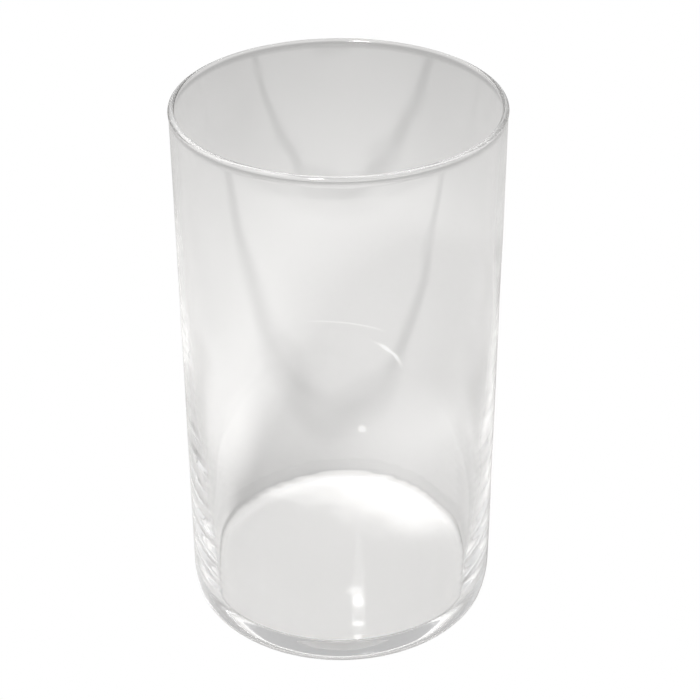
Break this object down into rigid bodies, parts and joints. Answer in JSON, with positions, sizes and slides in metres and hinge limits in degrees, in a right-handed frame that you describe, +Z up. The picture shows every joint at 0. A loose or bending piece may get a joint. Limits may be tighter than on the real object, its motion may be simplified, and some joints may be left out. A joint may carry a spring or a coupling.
{
  "type": "glass cylinder vase",
  "caption": "Clear glass cylinder vase with straight sides, a fire-polished rim bead, a wall that thickens towards a thick floor, and a rounded heel on a flat standing ring.",
  "frame": {"origin": "centre of the flat standing ring, on the plane that the vase stands on", "axes": "+Z up along the cylinder's axis, from the base to the mouth; X and Y are equal, as the vase is round"},
  "size_m": [0.1506, 0.1506, 0.26],
  "materials": {
    "glass": "clear, fire-polished"
  },
  "bodies": {
    "root": {"base_disc": "glass", "heel_ring": "glass", "cylinder_wall": "glass", "rim_bead": "glass"}
  },
  "joints": []
}
